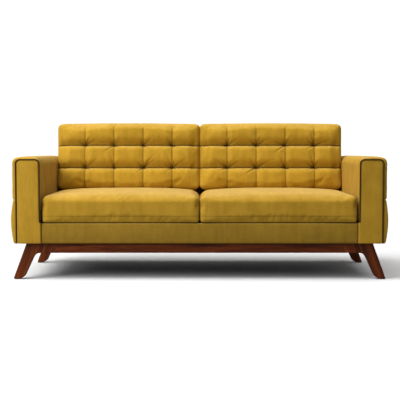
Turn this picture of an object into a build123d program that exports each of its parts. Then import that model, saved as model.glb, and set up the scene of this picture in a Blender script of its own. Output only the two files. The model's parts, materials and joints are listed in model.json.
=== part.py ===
from build123d import *
import math
import os

# Three-seat sofa on a walnut base: upholstered arms, apron and back over a timber frame, two loose seat
# cushions and two loose back cushions that rest on them. Millimetres. X is the width, the front faces -Y,
# +Z is up, and the origin is on the floor under the middle of the sofa.

# ---- overall ----
DEPTH = 920.0
HEIGHT = 891.0
FRONT_Y = -DEPTH / 2
REAR_Y = DEPTH / 2
BODY_BOTTOM = 204.0

# ---- walnut base ----
RAIL_HEIGHT = 55.0
RAIL_THICKNESS = 28.0
RAIL_BOTTOM = BODY_BOTTOM - RAIL_HEIGHT
LEG_THICKNESS = 40.0
LEG_FRONT_Y = -420.0
REAR_LEG_FRONT_Y = 290.0
LEG_JOINT_X = 810.0
LEG_TOP_X = 976.0
FOOT_X = 1051.0
HEEL_X = 994.5
KNEE_X = 926.0
HEEL_RADIUS = 44.0
KNEE_RADIUS = 45.0
TOE_RADIUS = 4.0
EASED_EDGE = 4.0
SIDE_RAIL_X = 944.0
GLIDE_HEIGHT = 2.5
GLIDE_RADIUS = 10.0
GLIDE_X = 1035.0
GLIDE_PIN_RADIUS = 1.2
GLIDE_PIN_TOP = 20.0
PIN_CLEARANCE = 0.05
DOWEL_RADIUS = 5.0
DOWEL_LENGTH = 60.0
DOWEL_HEIGHTS = (RAIL_BOTTOM + 17.0, RAIL_BOTTOM + 38.0)
STRETCHER_DOWEL_SHIFT = 10.0

# ---- coach screws that hold the base to the seat box ----
SCREW_XS = (-700.0, -250.0, 250.0, 700.0)
SCREW_RADIUS = 4.0
SCREW_TOP = 255.0
SCREW_HEAD_ACROSS_FLATS = 13.0
SCREW_HEAD_HEIGHT = 5.3
COUNTERBORE_RADIUS = 11.0
COUNTERBORE_DEPTH = 9.0
WASHER_RADIUS = 9.0
WASHER_THICKNESS = 1.6
WASHER_HOLE_RADIUS = 4.3
SCREW_CLEARANCE = 0.1

# ---- seat box ----
SHEET = 1.0
BOX_BOTTOM = BODY_BOTTOM + SHEET
BOX_TOP = 295.0
BOX_HALF_WIDTH = 905.0
SEAT_RAIL_THICKNESS = 38.0
SIDE_RAIL_THICKNESS = 25.0
SEAT_FRONT_Y = -432.0
SEAT_REAR_Y = 292.0
CENTRE_RAIL_TOP = 275.0
CORNER_BLOCK_LEG = 80.0
CORNER_BLOCK_BOTTOM = 225.0
CORNER_BLOCK_TOP = 285.0
DUST_COVER_HALF_WIDTH = 1015.0
DUST_COVER_FRONT_Y = -429.0
DUST_COVER_REAR_Y = 426.0

# ---- zig-zag springs and their clips ----
SPRING_XS = (90.0, 260.0, 430.0, 600.0, 770.0)
SPRING_WIRE_RADIUS = 1.9
SPRING_RUN = 35.0
SPRING_RUNS = 25
SPRING_FRONT_Y = -402.0
SPRING_REAR_Y = 302.0
SPRING_Z = BOX_TOP + 3.5
CLIP_HALF_DEPTH = 6.0
CLIP_HEIGHT = 7.6
CLIP_SHEET = 1.2
CLIP_LENGTH = 24.0

# ---- deck and apron ----
DECK_TOP = 319.0
DECK_PAD_BOTTOM = 303.0
DECK_CLOTH = 1.5
DECK_HALF_WIDTH = 904.0
DECK_REAR_Y = 256.0
APRON_HALF_WIDTH = 887.5
APRON_EDGE_Y = -446.0
APRON_CROWN = 3.5
APRON_BACK_Y = -430.0
COVER = 2.0

# ---- arms ----
ARM_INNER_X = 893.0
ARM_OUTER_X = 1047.0
ARM_BULGE_X = 1059.0
ARM_BULGE_Z = 328.0
ARM_EDGE_Z = 682.0
ARM_CROWN = 8.0
ARM_CORNER_RADIUS = 24.0
ARM_SEAM_Z = 453.0
ARM_COVER_FRONT_Y = -452.9
ARM_BOARD_OUTER_X = 1021.0
ARM_BOARD_TOP = 660.0
ARM_BOARD = 18.0
ARM_POST = 25.0
ARM_BOTTOM_RAIL_WIDTH = 22.0
ARM_BOTTOM_RAIL_HEIGHT = 50.0
ARM_FRONT_BOARD_Y = -440.0
ARM_REAR_POST_Y = 385.0
OUTSIDE_PANEL_BOTTOM_X = 1049.0
OUTSIDE_PANEL_TOP_X = 1045.0
FRONT_PANEL_FRONT_Y = -456.5
FRONT_PANEL_INNER_X = 897.0
FRONT_PANEL_FOOT_X = 888.5
FRONT_PANEL_TOP = 671.5
FRONT_PANEL_CORNER = 20.0
PIPING_RADIUS = 3.5
PIPING_OFFSET = PIPING_RADIUS + 0.1
PIPING_INNER_END = 322.0

# ---- back ----
LEAN = 8.0
LEAN_SLOPE = math.tan(math.radians(LEAN))
BACK_FACE_Y = 285.0
BACK_FACE_Z = 490.0
BACK_TOP = 812.0
BACK_HALF_WIDTH = 889.0
BACK_TOP_RADIUS = 22.0
FRAME_SETBACK = 18.0
BACK_FRAME_TOP = 795.0
POST_INNER_X = 862.0
POST_THICKNESS = 25.0
POST_REAR_SETBACK = 6.0
TOP_RAIL_HEIGHT = 22.0
TOP_RAIL_FRONT_Y = 346.0
TOP_RAIL_REAR_Y = 452.0
LOWER_RAIL_BOTTOM = 330.0
LOWER_RAIL_TOP = 390.0
REAR_BOTTOM_Y = 432.0
REAR_SLOPE = (REAR_Y - REAR_BOTTOM_Y) / (BACK_TOP - BODY_BOTTOM)
REAR_PANEL = 4.0
REAR_PANEL_GAP = 0.1
WEBBING_WIDTH = 50.0
WEBBING_THICKNESS = 1.8
WEBBING_SETBACK = 4.0
WEBBING_XS = (110.0, 290.0, 470.0, 650.0)
WEBBING_ZS = (480.0, 580.0, 680.0)

# ---- cushions ----
SEAT_CUSHION_INNER_X = 3.5
SEAT_CUSHION_OUTER_X = 882.0
SEAT_CUSHION_FRONT_Y = -452.0
SEAT_CUSHION_REAR_Y = 252.0
SEAT_CUSHION_BOTTOM = DECK_TOP + 1.0
SEAT_CUSHION_EDGE_Z = 474.0
SEAT_CUSHION_CROWN_Y = -120.0
SEAT_CUSHION_CROWN_Z = 507.0
SEAT_CUSHION_BACK_Z = 489.5
SEAT_CUSHION_FRONT_ROUND = 27.0
SEAT_CUSHION_ROUND = 14.0
BACK_CUSHION_INNER_X = 2.0
BACK_CUSHION_OUTER_X = 886.0
BACK_CUSHION_FRONT_Y = 100.0
BACK_CUSHION_FRONT_Z = 491.0
BACK_CUSHION_THICKNESS = 182.0
BACK_CUSHION_ROUND = 40.0
BACK_CUSHION_SIDE_ROUND = 22.0
FILL_GAP = 0.3


def block(x_low, x_high, y_low, y_high, z_low, z_high):
    """A rectangular block between two opposite corners."""
    centre = ((x_low + x_high) / 2, (y_low + y_high) / 2, (z_low + z_high) / 2)
    return Pos(*centre) * Box(x_high - x_low, y_high - y_low, z_high - z_low)


def rod(start, end, radius):
    """A round bar from one point to another."""
    start = Vector(*start)
    axis = Vector(*end) - start
    return extrude(Plane(start, z_dir=axis) * Circle(radius), axis.length)


def across(outline, x_low, x_high):
    """An outline drawn with Y to the right and Z up, made solid from x_low to x_high."""
    return extrude(Plane.YZ.offset(x_low) * outline, x_high - x_low)


def along(outline, y_low, y_high):
    """An outline drawn with X to the right and Z up, made solid from y_low to y_high."""
    return extrude(Plane.XZ.offset(-y_high) * outline, y_high - y_low)


def outline_of(*points):
    """A closed face with straight sides through the points."""
    return make_face(Polyline(*points, close=True))


def mirrored(shape):
    """The same piece on the left side."""
    return mirror(shape, Plane.YZ)


def rear_y(z):
    """Where the outside of the back stands at a height."""
    return REAR_BOTTOM_Y + (z - BODY_BOTTOM) * REAR_SLOPE


def back_face_y(z):
    """Where the inside of the back stands at a height."""
    return BACK_FACE_Y + (z - BACK_FACE_Z) * LEAN_SLOPE


def behind_the_back(setback):
    """Everything behind a sloping plane that stands in front of the outside of the back by setback."""
    high = 2 * BACK_TOP
    far = 2 * REAR_Y
    outline = outline_of((rear_y(0) - setback, 0), (rear_y(high) - setback, high), (far, high), (far, 0))
    return across(outline, -2 * ARM_OUTER_X, 2 * ARM_OUTER_X)


# ---------------------------------------------------------------- walnut base


def walnut_leg(front_y):
    """A right leg: a splayed foot that turns through a knee into the level arm that meets the rail."""
    heel = (HEEL_X, GLIDE_HEIGHT)
    knee = (KNEE_X, RAIL_BOTTOM)
    toe = (FOOT_X, GLIDE_HEIGHT)
    joint_top, joint_bottom = (LEG_JOINT_X, BODY_BOTTOM), (LEG_JOINT_X, RAIL_BOTTOM)
    outline = outline_of(joint_top, (LEG_TOP_X, BODY_BOTTOM), toe, heel, knee, joint_bottom)
    for point, radius in ((heel, HEEL_RADIUS), (knee, KNEE_RADIUS), (toe, TOE_RADIUS)):
        outline = fillet(outline.vertices().sort_by_distance((*point, 0))[0], radius)
    leg = along(outline, front_y, front_y + LEG_THICKNESS)
    rims = leg.faces().sort_by(Axis.Y)[0].edges() + leg.faces().sort_by(Axis.Y)[-1].edges()
    joint_rims = rims.filter_by_position(Axis.X, LEG_JOINT_X - 1, LEG_JOINT_X + 1)
    leg = fillet([edge for edge in rims if edge not in joint_rims], EASED_EDGE)
    middle_y = front_y + LEG_THICKNESS / 2
    pin_radius = GLIDE_PIN_RADIUS + PIN_CLEARANCE
    return leg - rod((GLIDE_X, middle_y, 0), (GLIDE_X, middle_y, GLIDE_PIN_TOP + 1), pin_radius)


def eased_rail(x_low, x_high, y_low, y_high):
    """A level walnut rail with its four long edges eased."""
    rail = block(x_low, x_high, y_low, y_high, RAIL_BOTTOM, BODY_BOTTOM)
    long_axis = Axis.X if x_high - x_low > y_high - y_low else Axis.Y
    return fillet(rail.edges().filter_by(long_axis), EASED_EDGE)


def base_dowel_places():
    """The middle and direction of every dowel in the base, two to a joint.

    The stretcher's dowels lie mostly in the stretcher, because a rail is thinner than half a dowel's length.
    """
    front_rail_y = LEG_FRONT_Y + RAIL_THICKNESS / 2
    rear_rail_y = REAR_LEG_FRONT_Y + LEG_THICKNESS - RAIL_THICKNESS / 2
    places = []
    for z in DOWEL_HEIGHTS:
        for side in (-1, 1):
            for y in (front_rail_y, rear_rail_y):
                places.append(((side * LEG_JOINT_X, y, z), (1, 0, 0)))
            for y in (LEG_FRONT_Y + LEG_THICKNESS, REAR_LEG_FRONT_Y):
                places.append(((side * SIDE_RAIL_X, y, z), (0, 1, 0)))
        into_stretcher = RAIL_THICKNESS / 2 + STRETCHER_DOWEL_SHIFT
        for y in (front_rail_y + into_stretcher, rear_rail_y - into_stretcher):
            places.append(((0, y, z), (0, 1, 0)))
    return places


def dowel_pins(radius, length):
    """A pin at every dowel place, as the dowels themselves or as their holes."""
    pins = []
    for middle, direction in base_dowel_places():
        half = Vector(*direction) * (length / 2)
        pins.append(rod(Vector(*middle) - half, Vector(*middle) + half, radius))
    return pins


def screw_places():
    """The eight places where a coach screw goes up through a base rail into the seat box."""
    front_y = LEG_FRONT_Y + RAIL_THICKNESS / 2
    rear_rail_y = REAR_LEG_FRONT_Y + LEG_THICKNESS - RAIL_THICKNESS / 2
    return [(x, y) for x in SCREW_XS for y in (front_y, rear_rail_y)]


def screw_holes():
    """Counterbores, shank holes and pilot holes for the coach screws."""
    holes = []
    sunk_z = RAIL_BOTTOM + COUNTERBORE_DEPTH
    for x, y in screw_places():
        holes.append(rod((x, y, RAIL_BOTTOM - 1), (x, y, sunk_z), COUNTERBORE_RADIUS))
        holes.append(rod((x, y, RAIL_BOTTOM), (x, y, SCREW_TOP + 1), SCREW_RADIUS + SCREW_CLEARANCE))
    return holes


def base_screws():
    """Hexagon-headed coach screws."""
    seat_z = RAIL_BOTTOM + COUNTERBORE_DEPTH - WASHER_THICKNESS
    head = extrude(RegularPolygon(SCREW_HEAD_ACROSS_FLATS / 2, 6, major_radius=False), SCREW_HEAD_HEIGHT)
    screws = []
    for x, y in screw_places():
        shank = rod((x, y, seat_z), (x, y, SCREW_TOP), SCREW_RADIUS)
        screws.append(Pos(x, y, seat_z - SCREW_HEAD_HEIGHT) * head + shank)
    return screws


def base_washers():
    """A flat washer under each coach screw's head."""
    top = RAIL_BOTTOM + COUNTERBORE_DEPTH
    washers = []
    for x, y in screw_places():
        disc = rod((x, y, top - WASHER_THICKNESS), (x, y, top), WASHER_RADIUS)
        washers.append(disc - rod((x, y, 0), (x, y, top + 1), WASHER_HOLE_RADIUS))
    return washers


def foot_glides():
    """A nail-in glide under each foot."""
    glides = []
    for side in (-1, 1):
        for front_y in (LEG_FRONT_Y, REAR_LEG_FRONT_Y):
            x, y = side * GLIDE_X, front_y + LEG_THICKNESS / 2
            disc = rod((x, y, 0), (x, y, GLIDE_HEIGHT), GLIDE_RADIUS)
            glides.append(disc + rod((x, y, GLIDE_HEIGHT), (x, y, GLIDE_PIN_TOP), GLIDE_PIN_RADIUS))
    return glides


def walnut_base():
    """The legs and rails, drilled for their dowels and screws, with the fixings."""
    front_y = LEG_FRONT_Y
    front_inside_y = front_y + RAIL_THICKNESS
    rear_outside_y = REAR_LEG_FRONT_Y + LEG_THICKNESS
    rear_inside_y = rear_outside_y - RAIL_THICKNESS
    half = RAIL_THICKNESS / 2
    side_rail = eased_rail(SIDE_RAIL_X - half, SIDE_RAIL_X + half, front_y + LEG_THICKNESS, REAR_LEG_FRONT_Y)
    wood = {
        "base_front_rail": eased_rail(-LEG_JOINT_X, LEG_JOINT_X, front_y, front_inside_y),
        "base_rear_rail": eased_rail(-LEG_JOINT_X, LEG_JOINT_X, rear_inside_y, rear_outside_y),
        "base_side_rail_right": side_rail,
        "base_side_rail_left": mirrored(side_rail),
        "base_centre_stretcher": eased_rail(-half, half, front_inside_y, rear_inside_y),
    }
    for place, leg_y in (("front", front_y), ("rear", REAR_LEG_FRONT_Y)):
        leg = walnut_leg(leg_y)
        wood[f"leg_{place}_right"] = leg
        wood[f"leg_{place}_left"] = mirrored(leg)
    dowel_holes = dowel_pins(DOWEL_RADIUS + PIN_CLEARANCE, DOWEL_LENGTH + 1)
    base = {name: piece - dowel_holes for name, piece in wood.items()}
    for name in ("base_front_rail", "base_rear_rail"):
        base[name] -= screw_holes()
    base["base_dowels"] = dowel_pins(DOWEL_RADIUS, DOWEL_LENGTH)
    base["base_screws"] = base_screws()
    base["base_washers"] = base_washers()
    base["foot_glides"] = foot_glides()
    return base


# ---------------------------------------------------------------- seat box


def zigzag_spring():
    """One spring: straight runs across, joined by half circles, from the front rail to the rear rail."""
    pitch = (SPRING_REAR_Y - SPRING_FRONT_Y) / (SPRING_RUNS - 1)
    half_run = SPRING_RUN / 2
    bend = pitch / 2
    path = []
    for run in range(SPRING_RUNS):
        y = SPRING_FRONT_Y + run * pitch
        side = 1 if run % 2 == 0 else -1
        run_end = (side * half_run, y, SPRING_Z)
        path.append(Line((-side * half_run, y, SPRING_Z), run_end))
        if run < SPRING_RUNS - 1:
            middle = (side * (half_run + bend), y + bend, SPRING_Z)
            path.append(ThreePointArc(run_end, middle, (side * half_run, y + pitch, SPRING_Z)))
    start = Plane((-half_run, SPRING_FRONT_Y, SPRING_Z), z_dir=(1, 0, 0))
    return sweep(start * Circle(SPRING_WIRE_RADIUS), Wire([edge for piece in path for edge in piece.edges()]))


def spring_clip(y, opening):
    """A folded steel clip round the end of a spring; opening is the side, -1 or 1, where the wire goes in."""
    half = CLIP_LENGTH / 2
    inside = CLIP_HALF_DEPTH - CLIP_SHEET
    low, high = BOX_TOP + CLIP_SHEET, BOX_TOP + CLIP_HEIGHT - CLIP_SHEET
    clip = block(-half, half, y - CLIP_HALF_DEPTH, y + CLIP_HALF_DEPTH, BOX_TOP, BOX_TOP + CLIP_HEIGHT)
    clip -= block(-half, half, y - inside, y + inside, low, high)
    mouth = sorted((y, y + opening * CLIP_HALF_DEPTH))
    return clip - block(-half, half, *mouth, low, high)


def seat_springs():
    """The springs, side by side over both halves of the seat."""
    spring = zigzag_spring()
    return [Pos(side * x, 0, 0) * spring for side in (-1, 1) for x in SPRING_XS]


def spring_clips():
    """A clip at each end of each spring."""
    ends = (spring_clip(SPRING_FRONT_Y, 1), spring_clip(SPRING_REAR_Y, -1))
    return [Pos(side * x, 0, 0) * clip for side in (-1, 1) for x in SPRING_XS for clip in ends]


def corner_block(x, y, x_side, y_side):
    """A triangular glue block in a corner, with its legs running towards x_side and y_side."""
    leg = CORNER_BLOCK_LEG
    outline = outline_of((x, y), (x + x_side * leg, y), (x, y + y_side * leg))
    return extrude(Plane.XY.offset(CORNER_BLOCK_BOTTOM) * outline, CORNER_BLOCK_TOP - CORNER_BLOCK_BOTTOM)


def seat_box():
    """The timber box under the seat, with its glue blocks, springs and clips."""
    front_inside_y = SEAT_FRONT_Y + SEAT_RAIL_THICKNESS
    rear_outside_y = SEAT_REAR_Y + SEAT_RAIL_THICKNESS
    half = SIDE_RAIL_THICKNESS / 2
    side_inside_x = BOX_HALF_WIDTH - SIDE_RAIL_THICKNESS
    front_rail = block(-BOX_HALF_WIDTH, BOX_HALF_WIDTH, SEAT_FRONT_Y, front_inside_y, BOX_BOTTOM, BOX_TOP)
    rear_rail = block(-POST_INNER_X, POST_INNER_X, SEAT_REAR_Y, rear_outside_y, BOX_BOTTOM, BOX_TOP)
    side_rail = block(side_inside_x, BOX_HALF_WIDTH, front_inside_y, SEAT_REAR_Y, BOX_BOTTOM, BOX_TOP)
    centre_rail = block(-half, half, front_inside_y, SEAT_REAR_Y, BOX_BOTTOM, CENTRE_RAIL_TOP)
    blocks = []
    for x_side in (-1, 1):
        for y, y_side in ((front_inside_y, 1), (SEAT_REAR_Y, -1)):
            outer_x = POST_INNER_X if y_side < 0 else side_inside_x
            blocks.append(corner_block(x_side * outer_x, y, -x_side, y_side))
            blocks.append(corner_block(x_side * half, y, x_side, y_side))
    return {
        "seat_front_rail": front_rail - screw_holes(),
        "seat_rear_rail": rear_rail - screw_holes(),
        "seat_side_rail_right": side_rail,
        "seat_side_rail_left": mirrored(side_rail),
        "seat_centre_rail": centre_rail,
        "seat_corner_blocks": blocks,
        "seat_springs": seat_springs(),
        "spring_clips": spring_clips(),
    }


def apron_section(inset, top_inset, bottom_inset):
    """The apron's side-on outline: flat at the back, gently crowned at the front."""
    low, high = BODY_BOTTOM + bottom_inset, DECK_TOP - top_inset
    edge_y = APRON_EDGE_Y + inset
    edges = [
        Line((APRON_BACK_Y, high), (APRON_BACK_Y, low)),
        Line((APRON_BACK_Y, low), (edge_y, low)),
        ThreePointArc((edge_y, low), (edge_y - APRON_CROWN, (low + high) / 2), (edge_y, high)),
        Line((edge_y, high), (APRON_BACK_Y, high)),
    ]
    return make_face(edges)


def seat_upholstery():
    """The deck pad, the apron's padding, the one sewn cover over both, and the dust cover underneath."""
    inside = apron_section(COVER, DECK_CLOTH, SHEET)
    skin = across(apron_section(0, 0, 0) - inside, -APRON_HALF_WIDTH, APRON_HALF_WIDTH)
    deck_cloth_bottom = DECK_TOP - DECK_CLOTH
    pad_half = DECK_HALF_WIDTH
    deck = block(-pad_half, pad_half, APRON_BACK_Y, DECK_REAR_Y, deck_cloth_bottom, DECK_TOP)
    padding_half = APRON_HALF_WIDTH - COVER
    padding = across(inside, -padding_half, padding_half)
    padding -= block(-padding_half, padding_half, SEAT_FRONT_Y, 0, 0, DECK_TOP)
    dust_half = DUST_COVER_HALF_WIDTH
    dust_cover = block(-dust_half, dust_half, DUST_COVER_FRONT_Y, DUST_COVER_REAR_Y, BODY_BOTTOM, BOX_BOTTOM)
    return {
        "deck_pad": block(-pad_half, pad_half, APRON_BACK_Y, DECK_REAR_Y, DECK_PAD_BOTTOM, deck_cloth_bottom),
        "apron_padding": padding,
        "apron_and_deck_cover": skin + deck,
        "dust_cover": dust_cover - screw_holes(),
    }


# ---------------------------------------------------------------- arms


def arm_section(inset, low):
    """The right arm's outline from the front, shrunk by inset: upright sides and a crowned, rounded top."""
    inner_x, outer_x = ARM_INNER_X + inset, ARM_OUTER_X - inset
    edge_z = ARM_EDGE_Z - inset
    middle_x = (inner_x + outer_x) / 2
    edges = [
        Line((inner_x, edge_z), (inner_x, low)),
        Line((inner_x, low), (outer_x, low)),
        Line((outer_x, low), (outer_x, edge_z)),
        ThreePointArc((outer_x, edge_z), (middle_x, edge_z + ARM_CROWN), (inner_x, edge_z)),
    ]
    outline = make_face(edges)
    for x in (inner_x, outer_x):
        outline = fillet(outline.vertices().sort_by_distance((x, edge_z, 0))[0], ARM_CORNER_RADIUS - inset)
    return outline


def outside_panel_section():
    """The padded panel low on the outside of the right arm: flat inside, bulging outside."""
    flat_x = ARM_BOARD_OUTER_X
    foot = (OUTSIDE_PANEL_BOTTOM_X, BOX_BOTTOM)
    top = (OUTSIDE_PANEL_TOP_X, ARM_SEAM_Z)
    edges = [
        Line((flat_x, ARM_SEAM_Z), (flat_x, BOX_BOTTOM)),
        Line((flat_x, BOX_BOTTOM), foot),
        ThreePointArc(foot, (ARM_BULGE_X, ARM_BULGE_Z), top),
        Line(top, (flat_x, ARM_SEAM_Z)),
    ]
    return make_face(edges)


def front_panel_section(grow, low):
    """The front panel's outline, square at the foot and rounded at the two top corners."""
    inner_x, outer_x = FRONT_PANEL_INNER_X - grow, ARM_BOARD_OUTER_X + grow
    top = FRONT_PANEL_TOP + grow
    outline = outline_of((inner_x, low), (outer_x, low), (outer_x, top), (inner_x, top))
    for x in (inner_x, outer_x):
        outline = fillet(outline.vertices().sort_by_distance((x, top, 0))[0], FRONT_PANEL_CORNER + grow)
    return outline


def arm_piping():
    """The cord round the right front panel: up the inner edge, over the top and down to the foot."""
    inner_x, outer_x = FRONT_PANEL_INNER_X - PIPING_OFFSET, ARM_BOARD_OUTER_X + PIPING_OFFSET
    top = FRONT_PANEL_TOP + PIPING_OFFSET
    y = FRONT_PANEL_FRONT_Y
    corners = [(inner_x, y, PIPING_INNER_END), (inner_x, y, top), (outer_x, y, top), (outer_x, y, BOX_BOTTOM)]
    path = FilletPolyline(*corners, radius=FRONT_PANEL_CORNER + PIPING_OFFSET)
    return sweep(Plane(corners[0], z_dir=(0, 0, 1)) * Circle(PIPING_RADIUS), path)


def right_arm():
    """Every piece of the right arm, from its boards out to its cover."""
    far = 2 * REAR_Y
    behind = behind_the_back(REAR_PANEL + REAR_PANEL_GAP)
    inner_x, outer_x = BOX_HALF_WIDTH, ARM_BOARD_OUTER_X
    board_back_y = ARM_FRONT_BOARD_Y + ARM_BOARD
    post_back_y = ARM_REAR_POST_Y + ARM_POST
    board_top = ARM_BOARD_TOP
    top_board = block(inner_x, outer_x, board_back_y, ARM_REAR_POST_Y, board_top - ARM_BOARD, board_top)
    rail_inner_x = outer_x - ARM_BOTTOM_RAIL_WIDTH
    rail_top = BOX_BOTTOM + ARM_BOTTOM_RAIL_HEIGHT
    bottom_rail = block(rail_inner_x, outer_x, board_back_y, ARM_REAR_POST_Y, BOX_BOTTOM, rail_top)
    inside = along(arm_section(COVER, DECK_TOP), ARM_COVER_FRONT_Y, far)
    panel_recess = along(front_panel_section(0, 0), 2 * FRONT_Y, ARM_FRONT_BOARD_Y)
    below_seam = block(outer_x, 2 * outer_x, 2 * FRONT_Y, far, 0, ARM_SEAM_Z)
    timber = block(inner_x, outer_x, ARM_FRONT_BOARD_Y, far, 0, board_top)
    outside = along(arm_section(0, DECK_TOP), ARM_COVER_FRONT_Y, far)
    cover = outside - inside - panel_recess - below_seam - behind
    padding = inside - panel_recess - below_seam - timber - behind
    panel = along(front_panel_section(0, BOX_BOTTOM), FRONT_PANEL_FRONT_Y, ARM_FRONT_BOARD_Y)
    panel += block(
        FRONT_PANEL_FOOT_X, FRONT_PANEL_INNER_X, FRONT_PANEL_FRONT_Y, ARM_FRONT_BOARD_Y, BOX_BOTTOM, DECK_TOP
    )
    return {
        "arm_top_board": top_board,
        "arm_front_board": block(inner_x, outer_x, ARM_FRONT_BOARD_Y, board_back_y, BOX_BOTTOM, board_top),
        "arm_rear_post": block(inner_x, outer_x, ARM_REAR_POST_Y, post_back_y, BOX_BOTTOM, board_top),
        "arm_bottom_rail": bottom_rail,
        "arm_padding": padding,
        "arm_cover": cover,
        "arm_front_panel": panel,
        "arm_piping": arm_piping(),
        "arm_outside_panel": along(outside_panel_section(), ARM_COVER_FRONT_Y, far) - behind,
    }


# ---------------------------------------------------------------- back


def back_section(inset):
    """The back's side-on outline above the deck: a leaning front face rounded over into the top."""
    top = BACK_TOP - inset
    front_inset = inset / math.cos(math.radians(LEAN))
    edge = (back_face_y(top) + front_inset, top)
    rear_setback = REAR_PANEL + REAR_PANEL_GAP
    outline = outline_of(
        (back_face_y(DECK_TOP) + front_inset, DECK_TOP),
        edge,
        (rear_y(top) - rear_setback, top),
        (rear_y(DECK_TOP) - rear_setback, DECK_TOP),
    )
    return fillet(outline.vertices().sort_by_distance((*edge, 0))[0], BACK_TOP_RADIUS - inset)


def back_frame_section(low):
    """The outline of a back post: upright low down, then leaning with the back's face."""
    upright_y = SEAT_REAR_Y
    turn_z = BACK_FACE_Z + (upright_y - BACK_FACE_Y - FRAME_SETBACK) / LEAN_SLOPE
    top = BACK_FRAME_TOP
    return outline_of(
        (upright_y, low),
        (upright_y, turn_z),
        (back_face_y(top) + FRAME_SETBACK, top),
        (rear_y(top) - POST_REAR_SETBACK, top),
        (rear_y(low) - POST_REAR_SETBACK, low),
    )


def back_webbing():
    """Upright and level strips of elastic webbing between the posts and rails, level strips behind."""
    strips = []
    lean = Rot(-LEAN, 0, 0)
    half_width = WEBBING_WIDTH / 2
    face = Pos(0, BACK_FACE_Y + FRAME_SETBACK + WEBBING_SETBACK, BACK_FACE_Z)
    cosine = math.cos(math.radians(LEAN))
    low = (LOWER_RAIL_TOP + 1 - BACK_FACE_Z) / cosine
    high = (BACK_FRAME_TOP - TOP_RAIL_HEIGHT - 1 - BACK_FACE_Z) / cosine
    for side in (-1, 1):
        for x in WEBBING_XS:
            middle = side * x
            upright = block(middle - half_width, middle + half_width, 0, WEBBING_THICKNESS, low, high)
            strips.append(face * lean * upright)
        for z in WEBBING_ZS:
            middle = (z - BACK_FACE_Z) / cosine
            x_low, x_high = sorted((side * (POST_THICKNESS / 2 + 1), side * (POST_INNER_X - 1)))
            back = 2 * WEBBING_THICKNESS
            level = block(x_low, x_high, WEBBING_THICKNESS, back, middle - half_width, middle + half_width)
            strips.append(face * lean * level)
    return strips


def outside_back_cover():
    """The flat panel over the whole rear, wide at the arms and narrower above them, on the rear slope."""
    corners = (
        (-ARM_OUTER_X, BODY_BOTTOM),
        (ARM_OUTER_X, BODY_BOTTOM),
        (ARM_OUTER_X, ARM_EDGE_Z),
        (BACK_HALF_WIDTH, ARM_EDGE_Z),
        (BACK_HALF_WIDTH, BACK_TOP),
        (-BACK_HALF_WIDTH, BACK_TOP),
        (-BACK_HALF_WIDTH, ARM_EDGE_Z),
        (-ARM_OUTER_X, ARM_EDGE_Z),
    )
    outline = outline_of(*corners)
    for x, z in ((ARM_OUTER_X, ARM_EDGE_Z), (BACK_HALF_WIDTH, BACK_TOP)):
        for side in (-1, 1):
            outline = fillet(outline.vertices().sort_by_distance((side * x, z, 0))[0], BACK_TOP_RADIUS)
    panel = along(outline, REAR_BOTTOM_Y - REAR_PANEL, REAR_BOTTOM_Y)
    hinge = Axis((0, REAR_BOTTOM_Y, BODY_BOTTOM), (1, 0, 0))
    return panel.rotate(hinge, -math.degrees(math.atan(REAR_SLOPE)))


def back_assembly():
    """The back's posts, rails, webbing, padding and covers."""
    inner_x = POST_INNER_X
    lower_back_y = SEAT_REAR_Y + POST_THICKNESS
    top_rail_bottom = BACK_FRAME_TOP - TOP_RAIL_HEIGHT
    lower_rail = block(-inner_x, inner_x, SEAT_REAR_Y, lower_back_y, LOWER_RAIL_BOTTOM, LOWER_RAIL_TOP)
    top_rail = block(-inner_x, inner_x, TOP_RAIL_FRONT_Y, TOP_RAIL_REAR_Y, top_rail_bottom, BACK_FRAME_TOP)
    post = across(back_frame_section(BOX_BOTTOM), inner_x, inner_x + POST_THICKNESS)
    half = POST_THICKNESS / 2
    centre_post = across(back_frame_section(BOX_TOP), -half, half) - lower_rail - top_rail
    centre_post -= block(-half, half, 0, REAR_Y, top_rail_bottom, BACK_FRAME_TOP)
    inside = across(back_section(COVER), -BACK_HALF_WIDTH, BACK_HALF_WIDTH)
    timber = across(back_frame_section(BOX_BOTTOM), -BACK_HALF_WIDTH, BACK_HALF_WIDTH)
    behind_posts = SEAT_REAR_Y + 2 * POST_THICKNESS
    timber += block(-BACK_HALF_WIDTH, BACK_HALF_WIDTH, behind_posts, REAR_Y, 0, BACK_FRAME_TOP)
    return {
        "back_post_right": post,
        "back_post_left": mirrored(post),
        "back_centre_post": centre_post,
        "back_lower_rail": lower_rail,
        "back_top_rail": top_rail,
        "back_webbing": back_webbing(),
        "back_padding": inside - timber,
        "inside_back_cover": across(back_section(0), -BACK_HALF_WIDTH, BACK_HALF_WIDTH) - inside,
        "outside_back_cover": outside_back_cover(),
    }


# ---------------------------------------------------------------- cushions


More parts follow.
